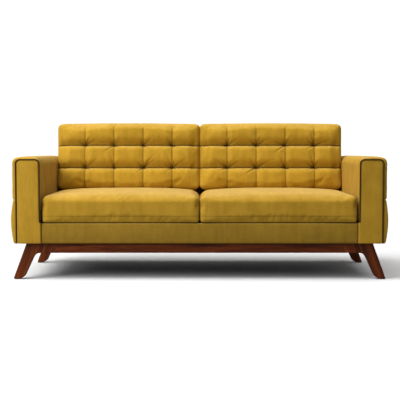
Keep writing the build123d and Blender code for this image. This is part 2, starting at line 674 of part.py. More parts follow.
def seat_cushion(inset):
    """The right seat cushion shrunk by inset: a crowned top, a rounded front and softened sides."""
    bottom = SEAT_CUSHION_BOTTOM + inset
    front_y, rear_end_y = SEAT_CUSHION_FRONT_Y + inset, SEAT_CUSHION_REAR_Y - inset
    slope_z = SEAT_CUSHION_BACK_Z - LEAN_SLOPE * (SEAT_CUSHION_REAR_Y - BACK_CUSHION_FRONT_Y) - inset
    edge_z = SEAT_CUSHION_EDGE_Z - inset
    front_round = SEAT_CUSHION_FRONT_ROUND
    edges = [
        Line((rear_end_y, slope_z), (rear_end_y, bottom)),
        Line((rear_end_y, bottom), (front_y, bottom)),
        Line((front_y, bottom), (front_y, edge_z - front_round)),
        Line((front_y, edge_z - front_round), (front_y + front_round, edge_z)),
        ThreePointArc(
            (front_y + front_round, edge_z),
            (SEAT_CUSHION_CROWN_Y, SEAT_CUSHION_CROWN_Z - inset),
            (BACK_CUSHION_FRONT_Y, SEAT_CUSHION_BACK_Z - inset),
        ),
        Line((BACK_CUSHION_FRONT_Y, SEAT_CUSHION_BACK_Z - inset), (rear_end_y, slope_z)),
    ]
    cushion = across(make_face(edges), SEAT_CUSHION_INNER_X + inset, SEAT_CUSHION_OUTER_X - inset)
    sides = cushion.faces().sort_by(Axis.X)
    return chamfer(sides[0].edges() + sides[-1].edges(), SEAT_CUSHION_ROUND / 2)


def back_cushion(inset):
    """The right back cushion shrunk by inset: an upright pillow leaning with the back."""
    lean = math.radians(LEAN)
    top_round = BACK_CUSHION_ROUND
    rise = HEIGHT - BACK_CUSHION_FRONT_Z - top_round * (1 - math.sin(lean))
    length = rise / math.cos(lean) + top_round
    pillow = block(
        BACK_CUSHION_INNER_X + inset,
        BACK_CUSHION_OUTER_X - inset,
        inset,
        BACK_CUSHION_THICKNESS - inset,
        inset,
        length - inset,
    )
    pillow = fillet(pillow.edges().filter_by(Axis.X).group_by(Axis.Z)[-1], top_round - inset)
    sides = pillow.faces().sort_by(Axis.X)
    pillow = fillet(sides[0].edges() + sides[-1].edges(), BACK_CUSHION_SIDE_ROUND - inset)
    return Pos(0, BACK_CUSHION_FRONT_Y, BACK_CUSHION_FRONT_Z) * Rot(-LEAN, 0, 0) * pillow


def cushions():
    """Each cushion as a sewn cover over its filling."""
    pieces = {}
    for name, shape, filling in (("seat", seat_cushion, "core"), ("back", back_cushion, "fill")):
        cover = shape(0) - shape(COVER)
        inside = shape(COVER + FILL_GAP)
        pieces[f"{name}_cushion_cover_right"] = cover
        pieces[f"{name}_cushion_cover_left"] = mirrored(cover)
        pieces[f"{name}_cushion_{filling}_right"] = inside
        pieces[f"{name}_cushion_{filling}_left"] = mirrored(inside)
    return pieces


def sofa():
    """Every piece of the sofa by its node's name."""
    pieces = {**walnut_base(), **seat_box(), **seat_upholstery(), **back_assembly(), **cushions()}
    for name, piece in right_arm().items():
        pieces[f"{name}_right"] = piece
        pieces[f"{name}_left"] = mirrored(piece)
    return pieces


os.makedirs("parts", exist_ok=True)
for name, piece in sofa().items():
    solids = piece if isinstance(piece, list) else [piece]
    children = [solid for entry in solids for solid in entry.solids()]
    shape = children[0] if len(children) == 1 else Compound(children=children)
    export_step(shape, f"parts/{name}.step")
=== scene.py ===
import json
import math

import bpy
import numpy as np
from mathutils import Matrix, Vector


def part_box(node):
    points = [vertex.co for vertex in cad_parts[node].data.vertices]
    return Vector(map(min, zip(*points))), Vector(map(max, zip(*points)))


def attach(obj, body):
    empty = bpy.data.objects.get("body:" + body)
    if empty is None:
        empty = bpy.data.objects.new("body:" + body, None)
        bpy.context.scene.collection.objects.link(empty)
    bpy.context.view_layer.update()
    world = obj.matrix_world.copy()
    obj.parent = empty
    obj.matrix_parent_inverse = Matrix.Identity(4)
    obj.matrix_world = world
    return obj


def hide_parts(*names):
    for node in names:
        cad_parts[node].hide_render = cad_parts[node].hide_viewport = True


# A three-seat sofa in mustard velvet on a walnut base, dressed over its CAD frame. Metres, +Z up, front to
# -Y.

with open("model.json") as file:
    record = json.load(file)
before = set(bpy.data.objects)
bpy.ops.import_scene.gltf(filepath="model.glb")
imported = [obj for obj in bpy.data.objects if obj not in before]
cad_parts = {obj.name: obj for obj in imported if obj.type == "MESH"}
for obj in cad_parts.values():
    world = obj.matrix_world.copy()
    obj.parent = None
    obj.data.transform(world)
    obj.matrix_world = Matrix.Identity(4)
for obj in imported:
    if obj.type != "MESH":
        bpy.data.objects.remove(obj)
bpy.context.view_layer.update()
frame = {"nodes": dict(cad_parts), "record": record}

MM = 0.001
LEAN = math.radians(8.0)
BACK_THICKNESS = 0.182
PANEL = 0.004
SIDES = (("left", -1), ("right", 1))

COLUMN_STITCH = 4.5 * MM
COLUMN_STITCH_WIDTH = 3.2 * MM
ROW_STITCH = 5.5 * MM
ROW_STITCH_WIDTH = 3.6 * MM
CREASE_DEPTH = 11.0 * MM


# ---------------------------------------------------------------- meshes


def stations(breaks, step):
    """Places along a side: every break is one, and each stretch between breaks is divided evenly, about
    step apart."""
    runs = [np.linspace(a, b, max(1, round((b - a) / step)) + 1)[:-1] for a, b in zip(breaks, breaks[1:])]
    return np.concatenate(runs + [breaks[-1:]])


def box_skin(xs, ys, zs):
    """The skin of a box cut at the given stations, as points and quads that face outwards."""
    sides = (xs, ys, zs)
    shape = tuple(len(side) for side in sides)
    index = np.arange(shape[0] * shape[1] * shape[2]).reshape(shape)
    quads = []
    for axis in range(3):
        for end in (0, -1):
            sheet = np.take(index, end, axis=axis)
            four = np.stack(
                [sheet[:-1, :-1], sheet[1:, :-1], sheet[1:, 1:], sheet[:-1, 1:]], -1
            ).reshape(-1, 4)
            outward = (end == -1) != (axis == 1)
            quads.append(four if outward else four[:, ::-1])
    quads = np.concatenate(quads)
    used, quads = np.unique(quads, return_inverse=True)
    places = np.stack(np.unravel_index(used, shape), -1)
    points = np.stack([side[places[:, axis]] for axis, side in enumerate(sides)], -1)
    return points, quads.reshape(-1, 4)


def grid_skin(rows, wrap_v=False, wrap_u=False):
    """Quads over a grid of points (u, v, 3); wrap joins the last line of that direction to the first."""
    count_u, count_v = rows.shape[:2]
    index = np.arange(count_u * count_v).reshape(count_u, count_v)
    if wrap_u:
        index = np.concatenate([index, index[:1]], 0)
    if wrap_v:
        index = np.concatenate([index, index[:, :1]], 1)
    quads = np.stack([index[:-1, :-1], index[1:, :-1], index[1:, 1:], index[:-1, 1:]], -1)
    return rows.reshape(-1, 3), quads.reshape(-1, 4)


def rounded(points, low, high, radius):
    """Box points moved onto the same box with round edges: each lies one radius out from the box shrunk by
    it."""
    inner = np.clip(points, np.array(low) + radius, np.array(high) - radius)
    away = points - inner
    return inner + radius * away / np.linalg.norm(away, axis=1, keepdims=True).clip(1e-9)


def smooth_step(value, start, end):
    """Nothing before start, one after end, and 3t^2 - 2t^3 between them."""
    t = np.clip((value - start) / (end - start), 0, 1)
    return t * t * (3 - 2 * t)


def pad_skin(low, high, step, corners, roll, depth=1, face=-1, sharp=None, rear_roll=0.0):
    """A pad seen from its face: a box skin with corner radii (lower, upper) and a rolled edge round the
    face. A square of half-size m round a corner's centre becomes a circle of radius m, by scaling each
    point by its largest part over its length, and the edge between face and side is turned in the same way.
    sharp is (direction across, radius) for the one side whose roll is tighter, and rear_roll is the other
    face's roll."""
    low, high = np.array(low, float), np.array(high, float)
    flat_axes = [axis for axis in range(3) if axis != depth]
    points, quads = box_skin(*(stations(np.array([low[k], high[k]]), step[k]) for k in range(3)))
    flat, flat_low, flat_high = points[:, flat_axes], low[flat_axes], high[flat_axes]
    up = (flat[:, 1] - flat_low[1]) / (flat_high[1] - flat_low[1])
    radius = (corners[0] + (corners[1] - corners[0]) * smooth_step(up, 0.3, 0.7))[:, None]
    inset = np.minimum(flat - flat_low, flat_high - flat).min(1)
    inner = np.clip(flat, flat_low + radius, flat_high - radius)
    away = flat - inner
    length = np.linalg.norm(away, axis=1, keepdims=True).clip(1e-9)
    outward = away / length
    flat = inner + away * np.abs(away).max(1, keepdims=True) / length
    start = points[:, depth].copy()
    for end, radius_here in ((face, roll), (-face, rear_roll)):
        turn = np.minimum(radius_here, radius[:, 0])
        if sharp:
            turn = turn + (np.minimum(sharp[1], turn) - turn) * np.clip(outward[:, 0] * sharp[0], 0, 1)
        behind = np.abs(start - (low[depth] if end < 0 else high[depth]))
        a, b = np.clip(turn - inset, 0, None), np.clip(turn - behind, 0, None)
        scale = 1 - np.maximum(a, b) / np.hypot(a, b).clip(1e-9)
        scale = np.where((a > 0) & (b > 0), scale, 0)
        flat = flat - outward * (a * scale)[:, None]
        points[:, depth] -= end * b * scale
    points[:, flat_axes] = flat
    return points, quads


def tube(path, radius, sides):
    """A round cord along a path: rings of points square to it, each end closed by a fan to one point."""
    ahead = np.gradient(path, axis=0)
    ahead /= np.linalg.norm(ahead, axis=1, keepdims=True)
    depth = np.broadcast_to([0.0, 1.0, 0.0], ahead.shape)
    beside = np.cross(depth, ahead)
    turn = np.linspace(0, 2 * math.pi, sides, endpoint=False)[None, :, None]
    ring = np.cos(turn) * beside[:, None] + np.sin(turn) * depth[:, None]
    rows = path[:, None] + np.broadcast_to(radius, len(path))[:, None, None] * ring
    points, quads = grid_skin(rows, wrap_v=True)
    last = len(points)
    around = np.arange(sides)
    onward = np.roll(around, -1)
    start = np.stack([onward, around, np.full(sides, last)], -1)
    end = np.stack([last - sides + around, last - sides + onward, np.full(sides, last + 1)], -1)
    return np.concatenate([points, path[:1], path[-1:]]), quads.tolist() + start.tolist() + end.tolist()


def mesh_piece(name, points, quads, material):
    """A smooth-shaded mesh object at the origin."""
    mesh = bpy.data.meshes.new(name)
    mesh.from_pydata(np.asarray(points, float).tolist(), [], [list(face) for face in quads])
    mesh.validate()
    mesh.materials.append(material)
    mesh.shade_smooth()
    piece = bpy.data.objects.new(name, mesh)
    bpy.context.scene.collection.objects.link(piece)
    return piece


def place(piece, body, slot, *nodes):
    """Ties a finished piece to its body and hides the CAD nodes that it stands for. The slot argument is
    not used.
    """
    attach(piece, body)
    if nodes:
        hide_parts(*nodes)
    return piece


def subdivide(piece, levels=1):
    """One subdivision surface, the same in the viewport as in the render."""
    smooth = piece.modifiers.new("smooth", "SUBSURF")
    smooth.levels = levels
    smooth.render_levels = levels


def bake(piece):
    """The piece's modifiers made part of its mesh."""
    made = piece.evaluated_get(bpy.context.evaluated_depsgraph_get())
    piece.data = bpy.data.meshes.new_from_object(made)
    piece.modifiers.clear()


def points_of(piece):
    """The mesh's points as an array."""
    flat = np.zeros(len(piece.data.vertices) * 3)
    piece.data.vertices.foreach_get("co", flat)
    return flat.reshape(-1, 3)


def move_to(piece, points):
    """The mesh's points set from an array."""
    piece.data.vertices.foreach_set("co", points.reshape(-1))
    piece.data.update()


def paint_seam_shade(piece, amount):
    """Painted shade for seams and creases: how dark each point is painted, from 0 to 1, kept in the seam
    attribute for the velvet to read.
    """
    layer = piece.data.attributes.new("seam", "FLOAT", "POINT")
    layer.data.foreach_set("value", np.clip(amount, 0, 1).astype(np.float32))


def for_side(points, quads, sign):
    """A right-hand shape as it is, or its mirror image on the left with its faces turned to stay
    outward."""
    if sign > 0:
        return points, quads
    return points * (-1, 1, 1), [tuple(face)[::-1] for face in quads]


def waves(points, size, seed, octaves=3):
    """Smooth random height over points: summed sines in random directions, shorter and lower each
    octave."""
    draw = np.random.default_rng(seed)
    total = np.zeros(len(points))
    for octave in range(octaves):
        for _ in range(7):
            direction = draw.normal(size=3)
            direction *= 2 * math.pi * 2 ** octave / (size * np.linalg.norm(direction))
            total += np.sin(points @ direction + draw.uniform(0, 2 * math.pi)) / 2 ** octave
    return total / 7


def bump(distance, width):
    """One at distance zero, falling to nothing at about twice the width, as a bell."""
    return np.exp(-((distance / width) ** 2))


def inflate(piece, held, pressure, growth, frames, cap):
    """Cloth simulation of a stuffed cover: air pressure inside, held points still, and no point moves past
    cap."""
    start = points_of(piece)
    group = piece.vertex_groups.new(name="held")
    group.add(np.flatnonzero(held).tolist(), 1.0, "REPLACE")
    cloth = piece.modifiers.new("cloth", "CLOTH")
    settings = cloth.settings
    settings.vertex_group_mass = "held"
    settings.use_pressure = True
    settings.uniform_pressure_force = pressure
    settings.shrink_min = -growth
    settings.quality = 4
    settings.effector_weights.gravity = 0
    cloth.collision_settings.use_collision = False
    for step in range(1, frames + 1):
        bpy.context.scene.frame_set(step)
    shaped = piece.evaluated_get(bpy.context.evaluated_depsgraph_get())
    flat = np.zeros(len(start) * 3)
    shaped.data.vertices.foreach_get("co", flat)
    piece.modifiers.remove(cloth)
    piece.vertex_groups.remove(group)
    bpy.context.scene.frame_set(1)
    move = flat.reshape(-1, 3) - start
    length = np.linalg.norm(move, axis=1, keepdims=True).clip(1e-9)
    end = start + move * np.minimum(1, cap / length)
    piece.data.vertices.foreach_set("co", end.reshape(-1))
    piece.data.update()
    return end


# ---------------------------------------------------------------- materials


def colour(code):
    """An sRGB hex colour as a linear colour."""
    parts = [int(code[place:place + 2], 16) / 255 for place in (0, 2, 4)]
    return [part / 12.92 if part <= 0.04045 else ((part + 0.055) / 1.055) ** 2.4 for part in parts] + [1.0]


def add(tree, kind, links=None, **settings):
    """One node with its settings and its inputs: a link's value is a socket, anything else is set as it
    is."""
    node = tree.nodes.new(kind)
    for key, value in settings.items():
        setattr(node, key, value)
    for key, value in (links or {}).items():
        if isinstance(value, bpy.types.NodeSocket):
            tree.links.new(value, node.inputs[key])
        else:
            node.inputs[key].default_value = value
    return node


def new_material(name):
    """An empty node material with its output, as the material, its tree and its output."""
    material = bpy.data.materials.new(name)
    material.use_nodes = True
    tree = material.node_tree
    tree.nodes.clear()
    return material, tree, add(tree, "ShaderNodeOutputMaterial")


def ramp(tree, factor, *stops):
    """A colour ramp through (position, hex) stops."""
    node = add(tree, "ShaderNodeValToRGB", {"Fac": factor})
    elements = node.color_ramp.elements
    while len(elements) < len(stops):
        elements.new(0.5)
    for element, (position, code) in zip(elements, stops):
        element.position = position
        element.color = colour(code)
    return node.outputs["Color"]


def velvet(name, dark, middle, light, painted_sheen_and_shade):
    """Cotton velvet, dyed, its pile raised and combed: a dull pile with a soft rim of sheen, nap that lies
    lighter or darker in patches and upright streaks, and a fine ribbed pile. The last argument holds two
    painted colours: a pale painted sheen that faces pointing up are lightened towards, standing for the top
    light on them, and a painted shade for seams and creases, laid where the piece's seam attribute is one.
    The pile is 0.5 mm, drawn at 1.6 mm so that it shows."""
    material, tree, output = new_material(name)
    place_on = add(tree, "ShaderNodeTexCoord").outputs["Object"]
    patches = add(
        tree, "ShaderNodeTexNoise", {"Vector": place_on, "Scale": 9.0, "Detail": 5.0, "Roughness": 0.62}
    )
    drawn_out = add(tree, "ShaderNodeMapping", {"Vector": place_on, "Scale": (1.0, 1.0, 0.22)})
    streaks = add(
        tree,
        "ShaderNodeTexNoise",
        {"Vector": drawn_out.outputs["Vector"], "Scale": 34.0, "Detail": 4.0, "Roughness": 0.6},
    )
    nap = add(
        tree, "ShaderNodeMath", {0: patches.outputs["Fac"], 1: streaks.outputs["Fac"]}, operation="ADD"
    )
    half = add(tree, "ShaderNodeMath", {0: nap.outputs[0], 1: 0.5}, operation="MULTIPLY")
    dyed = ramp(tree, half.outputs[0], (0.31, dark), (0.5, middle), (0.69, light))
    facing = add(
        tree, "ShaderNodeSeparateXYZ", {"Vector": add(tree, "ShaderNodeTexCoord").outputs["Normal"]}
    )
    # Painted sheen: faces pointing up are lightened towards the pale colour, standing for the top light and
    # sheen that fall on them.
    painted_top_sheen = add(
        tree,
        "ShaderNodeMapRange",
        {"Value": facing.outputs["Z"], "From Min": 0.55, "From Max": 1.0, "To Max": 0.17},
    )
    with_painted_sheen = add(
        tree,
        "ShaderNodeMix",
        {"Factor": painted_top_sheen.outputs["Result"], "A": dyed, "B": colour(painted_sheen_and_shade[0])},
        data_type="RGBA",
    )
    # Painted shade: seams and creases are darkened towards the dark colour as far as the piece's seam
    # attribute says.
    seam_shade_amount = add(tree, "ShaderNodeAttribute", attribute_name="seam").outputs["Fac"]
    shaded = add(
        tree,
        "ShaderNodeMix",
        {"Factor": seam_shade_amount, "A": with_painted_sheen.outputs["Result"], "B": colour(painted_sheen_and_shade[1])},
        data_type="RGBA",
    )
    base = shaded.outputs["Result"]
    pile = add(
        tree, "ShaderNodeTexNoise", {"Vector": place_on, "Scale": 620.0, "Detail": 2.0, "Roughness": 0.7}
    )
    rub = add(
        tree, "ShaderNodeTexNoise", {"Vector": place_on, "Scale": 55.0, "Detail": 3.0, "Roughness": 0.6}
    )
    soft = add(
        tree, "ShaderNodeBump", {"Height": rub.outputs["Fac"], "Strength": 0.22, "Distance": 0.004}
    )
    fine = add(
        tree,
        "ShaderNodeBump",
        {
            "Height": pile.outputs["Fac"],
            "Normal": soft.outputs["Normal"],
            "Strength": 0.3,
            "Distance": 0.0008,
        },
    )
    rough = add(
        tree,
        "ShaderNodeMapRange",
        {"Value": half.outputs[0], "From Min": 0.3, "From Max": 0.7, "To Min": 0.95, "To Max": 0.78},
    )
    shader = add(
        tree,
        "ShaderNodeBsdfPrincipled",
        {
            "Base Color": base,
            "Roughness": rough.outputs["Result"],
            "Normal": fine.outputs["Normal"],
            "Sheen Weight": 0.06,
            "Sheen Roughness": 0.4,
            "Sheen Tint": colour("fff2cc"),
            "Specular IOR Level": 0.2,
            "IOR": 1.45,
        },
    )
    tree.links.new(shader.outputs[0], output.inputs["Surface"])
    return material


def walnut(name, turn=0.0, along="X"):
    """American walnut, planed, oiled and satin lacquered: dark brown with near-black grain lines 2 to 6 mm
    apart that run along the piece, and a thin coat that gives it a soft highlight."""
    material, tree, output = new_material(name)
    place_on = add(tree, "ShaderNodeTexCoord").outputs["Object"]
    turned = add(
        tree, "ShaderNodeMapping", {"Vector": place_on, "Rotation": (0.0, turn, 0.0)}
    ).outputs["Vector"]
    squeeze = (0.045, 1.0, 1.0) if along == "X" else (1.0, 0.045, 1.0)
    long_way = add(tree, "ShaderNodeMapping", {"Vector": turned, "Scale": squeeze}).outputs["Vector"]
    grain = add(
        tree, "ShaderNodeTexNoise", {"Vector": long_way, "Scale": 240.0, "Detail": 5.0, "Roughness": 0.7}
    )
    figure = add(
        tree,
        "ShaderNodeTexNoise",
        {"Vector": long_way, "Scale": 46.0, "Detail": 3.0, "Roughness": 0.55, "Distortion": 0.8},
    )
    mixed = add(
        tree,
        "ShaderNodeMix",
        {"Factor": 0.45, "A": figure.outputs["Fac"], "B": grain.outputs["Fac"]},
        data_type="FLOAT",
    )
    base = ramp(
        tree, mixed.outputs["Result"], (0.32, "2a1003"), (0.46, "502108"), (0.56, "6a2f0c"), (0.7, "8a4718")
    )
    rough = add(
        tree,
        "ShaderNodeMapRange",
        {"Value": grain.outputs["Fac"], "From Min": 0.3, "From Max": 0.7, "To Min": 0.46, "To Max": 0.32},
    )
    pores = add(
        tree, "ShaderNodeBump", {"Height": grain.outputs["Fac"], "Strength": 0.25, "Distance": 0.0006}
    )
    shader = add(
        tree,
        "ShaderNodeBsdfPrincipled",
        {
            "Base Color": base,
            "Roughness": rough.outputs["Result"],
            "Normal": pores.outputs["Normal"],
            "Coat Weight": 0.06,
            "Coat Roughness": 0.3,
            "Specular IOR Level": 0.14,
            "IOR": 1.5,
        },
    )
    tree.links.new(shader.outputs[0], output.inputs["Surface"])
    return material


def plain_timber(name, dark, light, squeeze):
    """Sawn softwood or ply, unfinished: pale, dull, with grain along the piece about 6 mm apart."""
    material, tree, output = new_material(name)
    place_on = add(tree, "ShaderNodeTexCoord").outputs["Object"]
    long_way = add(tree, "ShaderNodeMapping", {"Vector": place_on, "Scale": squeeze}).outputs["Vector"]
    grain = add(
        tree, "ShaderNodeTexNoise", {"Vector": long_way, "Scale": 90.0, "Detail": 5.0, "Distortion": 0.6}
    )
    bumps = add(
        tree, "ShaderNodeBump", {"Height": grain.outputs["Fac"], "Strength": 0.3, "Distance": 0.0008}
    )
    shader = add(
        tree,
        "ShaderNodeBsdfPrincipled",
        {"Base Color": ramp(tree, grain.outputs["Fac"], (0.35, dark), (0.65, light)), "Roughness": 0.7,
         "Normal": bumps.outputs["Normal"], "IOR": 1.5},
    )
    tree.links.new(shader.outputs[0], output.inputs["Surface"])
    return material


def zinc(name, code, rough):
    """Zinc-plated or phosphated steel: grey metal whose crystal patches change its gloss a little."""
    material, tree, output = new_material(name)
    place_on = add(tree, "ShaderNodeTexCoord").outputs["Object"]
    patches = add(tree, "ShaderNodeTexVoronoi", {"Vector": place_on, "Scale": 400.0})
    gloss = add(
        tree,
        "ShaderNodeMapRange",
        {"Value": patches.outputs["Distance"], "To Min": rough - 0.06, "To Max": rough + 0.12},
    )
    shader = add(
        tree,
        "ShaderNodeBsdfPrincipled",
        {"Base Color": colour(code), "Metallic": 1.0, "Roughness": gloss.outputs["Result"]},
    )
    tree.links.new(shader.outputs[0], output.inputs["Surface"])
    return material


def dull(name, dark, light, scale, rough, depth):
    """Foam, felt, cambric or moulded nylon: a matt surface with a mottle and relief of the given scale."""
    material, tree, output = new_material(name)
    place_on = add(tree, "ShaderNodeTexCoord").outputs["Object"]
    cells = add(
        tree, "ShaderNodeTexNoise", {"Vector": place_on, "Scale": scale, "Detail": 4.0, "Roughness": 0.65}
    )
    bumps = add(
        tree, "ShaderNodeBump", {"Height": cells.outputs["Fac"], "Strength": 0.4, "Distance": depth}
    )
    shader = add(
        tree,
        "ShaderNodeBsdfPrincipled",
        {"Base Color": ramp(tree, cells.outputs["Fac"], (0.35, dark), (0.65, light)), "Roughness": rough,
         "Normal": bumps.outputs["Normal"], "IOR": 1.45},
    )
    tree.links.new(shader.outputs[0], output.inputs["Surface"])
    return material


# Painted shade: the dark colour that seams and creases are darkened towards.
PAINTED_SEAM_SHADE = "3a2806"
mustard = velvet("mustard_velvet", "99751c", "a68022", "b18a28", ("dcc38c", PAINTED_SEAM_SHADE))
# Painted shade: a darker copy of the mustard velvet for the apron, standing for the shade under the
# overhanging seat cushions.
shaded_apron_velvet = velvet("mustard_velvet_painted_shade", "7c5f18", "88691c", "927120", ("dcc38c", PAINTED_SEAM_SHADE))
# Painted light: a lighter copy of the mustard velvet for the back cushions, making up for light that the
# lamps give them too little of.
lightened_back_velvet = velvet("mustard_velvet_painted_light", "a37e1f", "b18923", "bd942c", ("dcc38c", PAINTED_SEAM_SHADE))
# Painted shade: the piping's dark brown stands for the shade in the groove round each arm's front panel.
piping_velvet = velvet("piping_velvet", "2a1b03", "382505", "46300a", ("5a4418", PAINTED_SEAM_SHADE))
walnut_level = walnut("oiled_walnut_level")
walnut_deep = walnut("oiled_walnut_deep", along="Y")
walnut_leg_left = walnut("oiled_walnut_leg_left", turn=math.radians(69.6))
walnut_leg_right = walnut("oiled_walnut_leg_right", turn=math.radians(-69.6))
pine = plain_timber("sawn_pine", "b98f57", "dcbb85", (0.06, 1.0, 1.0))
plywood = plain_timber("birch_plywood", "b58a52", "d3aa72", (1.0, 0.08, 1.0))
beech = plain_timber("beech_dowel", "bb9363", "d5b385", (1.0, 1.0, 0.2))
plated = zinc("zinc_plated_steel", "b9bcbf", 0.3)
spring_steel = zinc("oiled_spring_steel", "565a5e", 0.34)
nylon = dull("moulded_nylon", "1d1a18", "2c2825", 500.0, 0.5, 0.0002)
foam = dull("cut_foam", "e2d2ab", "f3e8cc", 700.0, 0.95, 0.0008)
cambric = dull("black_cambric", "0f0f10", "222223", 900.0, 0.9, 0.0004)
elastic = dull("elastic_webbing", "26241f", "45423a", 650.0, 0.85, 0.0006)


# ---------------------------------------------------------------- camera, light, floor


def studio():
    """The camera, the soft key from the upper left, the top light, a weak fill, and a pale floor."""
    scene = bpy.context.scene
    scene.view_settings.view_transform = "Standard"
    camera = bpy.data.objects.new("camera", bpy.data.cameras.new("camera"))
    scene.collection.objects.link(camera)
    camera.location = (0.0018, -5.24, 0.727)
    camera.rotation_euler = (math.radians(90 - 3.314), 0.0, 0.0)
    camera.data.sensor_width = 36.0
    camera.data.lens = 77.4
    scene.camera = camera
    for name, turn, strength, spread in (
        ("key", (math.radians(34), 0.0, math.radians(-70)), 2.45, 36),
        ("top", (math.radians(6), 0.0, 0.0), 2.0, 60),
    ):
        lamp = bpy.data.lights.new(name, "SUN")
        lamp.energy = strength
        lamp.angle = math.radians(spread)
        holder = bpy.data.objects.new(name, lamp)
        holder.rotation_euler = turn
        scene.collection.objects.link(holder)
    side = bpy.data.lights.new("side", "AREA")
    side.energy = 64.0
    side.size = 1.6
    holder = bpy.data.objects.new("side", side)
    holder.location = (-2.4, -2.3, 1.7)
    holder.rotation_euler = (math.radians(66), 0.0, math.radians(-52))
    scene.collection.objects.link(holder)
    world = bpy.data.worlds.new("studio")
    world.use_nodes = True
    scene.world = world
    tree = world.node_tree
    tree.nodes.clear()
    seen = add(tree, "ShaderNodeLightPath").outputs["Is Camera Ray"]
    strength = add(
        tree, "ShaderNodeMapRange", {"Value": seen, "To Min": 0.31, "To Max": 1.1}
    ).outputs["Result"]
    glow = add(tree, "ShaderNodeBackground", {"Color": (1.0, 1.0, 1.0, 1.0), "Strength": strength})
    out = add(tree, "ShaderNodeOutputWorld")
    tree.links.new(glow.outputs[0], out.inputs["Surface"])
    paint, floor_tree, output = new_material("floor_paint")
    looked_at = add(floor_tree, "ShaderNodeLightPath").outputs["Is Camera Ray"]
    pale = add(floor_tree, "ShaderNodeMapRange", {"Value": looked_at, "To Min": 0.2, "To Max": 0.64})
    shader = add(floor_tree, "ShaderNodeBsdfDiffuse", {"Color": pale.outputs["Result"]})
    floor_tree.links.new(shader.outputs[0], output.inputs["Surface"])
    reach = np.linspace(-40.0, 40.0, 9)
    rows = np.stack(np.meshgrid(reach, reach, [0.0], indexing="ij"), -1)[:, :, 0]
    floor = mesh_piece("floor", *grid_skin(rows), paint)


# ---------------------------------------------------------------- arms, apron and back


def rear_plane(z):
    """How far back the upholstery reaches at a height: the inner face of the outside back's slope."""
    low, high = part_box("outside_back_cover")
    slope = (high[1] - low[1] - PANEL) / (high[2] - low[2])
    return low[1] + (z - low[2]) * slope - 0.1 * MM


def stretched_back(points, front_y, back_y):
    """Points whose depth between front_y and back_y is stretched so that the back follows the rear
    slope."""
    share = (points[:, 1] - front_y) / (back_y - front_y)
    points[:, 1] = front_y + share * (rear_plane(points[:, 2]) - front_y)
    return points


def arm_wrap(side, sign):
    """The padded wrap of an arm, up the inside, over the top and down to the seam on the outside, where it
    tucks in. Its front edge rolls towards the piping, tightly on the inside. The cover's pull shows as soft
    upright folds on the inside, deepest near the top."""
    low, high = (np.array(corner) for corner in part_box("arm_cover_right"))
    seam_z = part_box("arm_outside_panel_right")[1][2]
    crown = 8 * MM
    box_high = np.array([high[0], high[1], high[2] - crown])
    points, quads = pad_skin(
        low, box_high, (0.0068, 0.009, 0.0075), (0.02, 0.026), 0.015, sharp=(-1, 4 * MM)
    )
    across_arm = (points[:, 0] - low[0]) / (high[0] - low[0])
    points[:, 2] += crown * (1 - (2 * across_arm - 1) ** 2) * smooth_step(points[:, 2], seam_z, box_high[2])
    points = stretched_back(points, low[1], high[1])
    tucked = 1 - 0.17 * (1 - smooth_step(points[:, 2], seam_z - 12 * MM, seam_z + 1 * MM))
    points[:, 0] = low[0] + (points[:, 0] - low[0]) * tucked
    piece = mesh_piece(f"arm_wrap_{side}", *for_side(points, quads, sign), mustard)
    x, y, z = points.T
    still = (z < seam_z) | (y < low[1] + 0.02) | (y > rear_plane(z) - 0.02)
    points = inflate(piece, still, 1.4, 0.008, 10, 3 * MM) * (sign, 1, 1)
    x, y, z = points.T
    inside = smooth_step(-x, -low[0] - 0.012, -low[0] - 0.002) * smooth_step(z, seam_z, seam_z + 0.1)
    clear = smooth_step(y, low[1] + 0.02, low[1] + 0.10)
    folds = waves(np.stack([y, z * 0.16 + y * 0.1, z * 0], -1), 0.15, 61 + sign)
    points[:, 0] += 4.2 * MM * folds * inside * clear
    top = smooth_step(z, high[2] - 0.03, high[2])
    points[:, 2] += 1.0 * MM * waves(points, 0.23, 63 + sign) * top * clear
    outside = smooth_step(x, high[0] - 0.012, high[0] - 0.002)
    points[:, 0] += 0.9 * MM * waves(points * (1, 1, 0.5), 0.26, 65 + sign) * outside
    move_to(piece, points * (sign, 1, 1))
    subdivide(piece)
    place(piece, "sofa_frame", "mustard_velvet", f"arm_cover_{side}", f"arm_padding_{side}")


def arm_front_panel(side, sign):
    """The padded panel on an arm's front, gently domed, wider at its foot where it meets the apron."""
    low, high = (np.array(corner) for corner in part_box("arm_front_panel_right"))
    foot_x, panel_x = low[0], low[0] + 8.5 * MM
    deck_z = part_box("apron_and_deck_cover")[1][2]
    start = np.array([panel_x, low[1], low[2]])
    points, quads = pad_skin(start, high, (0.005, 0.0045, 0.006), (3 * MM, 20 * MM), 6 * MM)
    x, y, z = points.T
    u = (x - panel_x) / (high[0] - panel_x) * 2 - 1
    w = (z - low[2]) / (high[2] - low[2]) * 2 - 1
    dome = (1 - np.abs(u) ** 2.6).clip(0) * (1 - w ** 8).clip(0)
    facing = smooth_step(-y, -low[1] - 6 * MM, -low[1])
    points[:, 1] -= facing * (1.5 * MM * dome + 0.5 * MM * waves(points * (1, 1, 0.4), 0.09, 71 + sign))
    foot = (1 - smooth_step(z, deck_z, deck_z + 6 * MM)) * (1 - (u + 1) / 2)
    points[:, 0] -= (panel_x - foot_x) * foot
    piece = mesh_piece(f"arm_front_{side}", *for_side(points, quads, sign), mustard)
    subdivide(piece)
    place(piece, "sofa_frame", "mustard_velvet", f"arm_front_panel_{side}")


